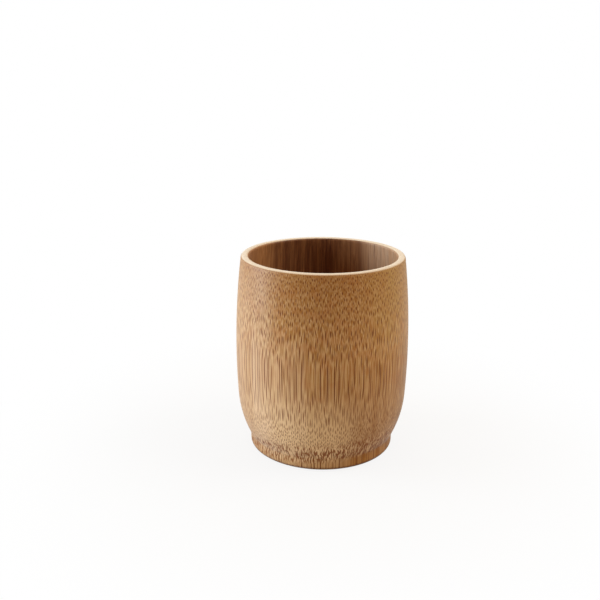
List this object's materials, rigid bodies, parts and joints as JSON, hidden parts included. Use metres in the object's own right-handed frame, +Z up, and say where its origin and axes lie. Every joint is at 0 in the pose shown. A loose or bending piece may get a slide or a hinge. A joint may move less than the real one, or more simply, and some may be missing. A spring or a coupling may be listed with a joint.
{
  "type": "bamboo cup",
  "caption": "Barrel-shaped handleless cup turned from natural bamboo culm, with a rounded lip, a low foot band and a glued-in floor disc.",
  "frame": {"origin": "centre of the foot ring, on the plane that the cup stands on", "axes": "+Z up along the turning axis, towards the lip; X and Y are any two directions across, because the cup is round"},
  "size_m": [0.083, 0.083, 0.095],
  "materials": {
    "culm_wall": "satin, thinly lacquered end and side grain of bamboo",
    "floor_disc": "satin, thinly lacquered bamboo",
    "glue_seal": "cured clear amber adhesive"
  },
  "bodies": {
    "root": {"culm_wall": "culm_wall", "floor_disc": "floor_disc", "glue_seal": "glue_seal"}
  },
  "joints": []
}
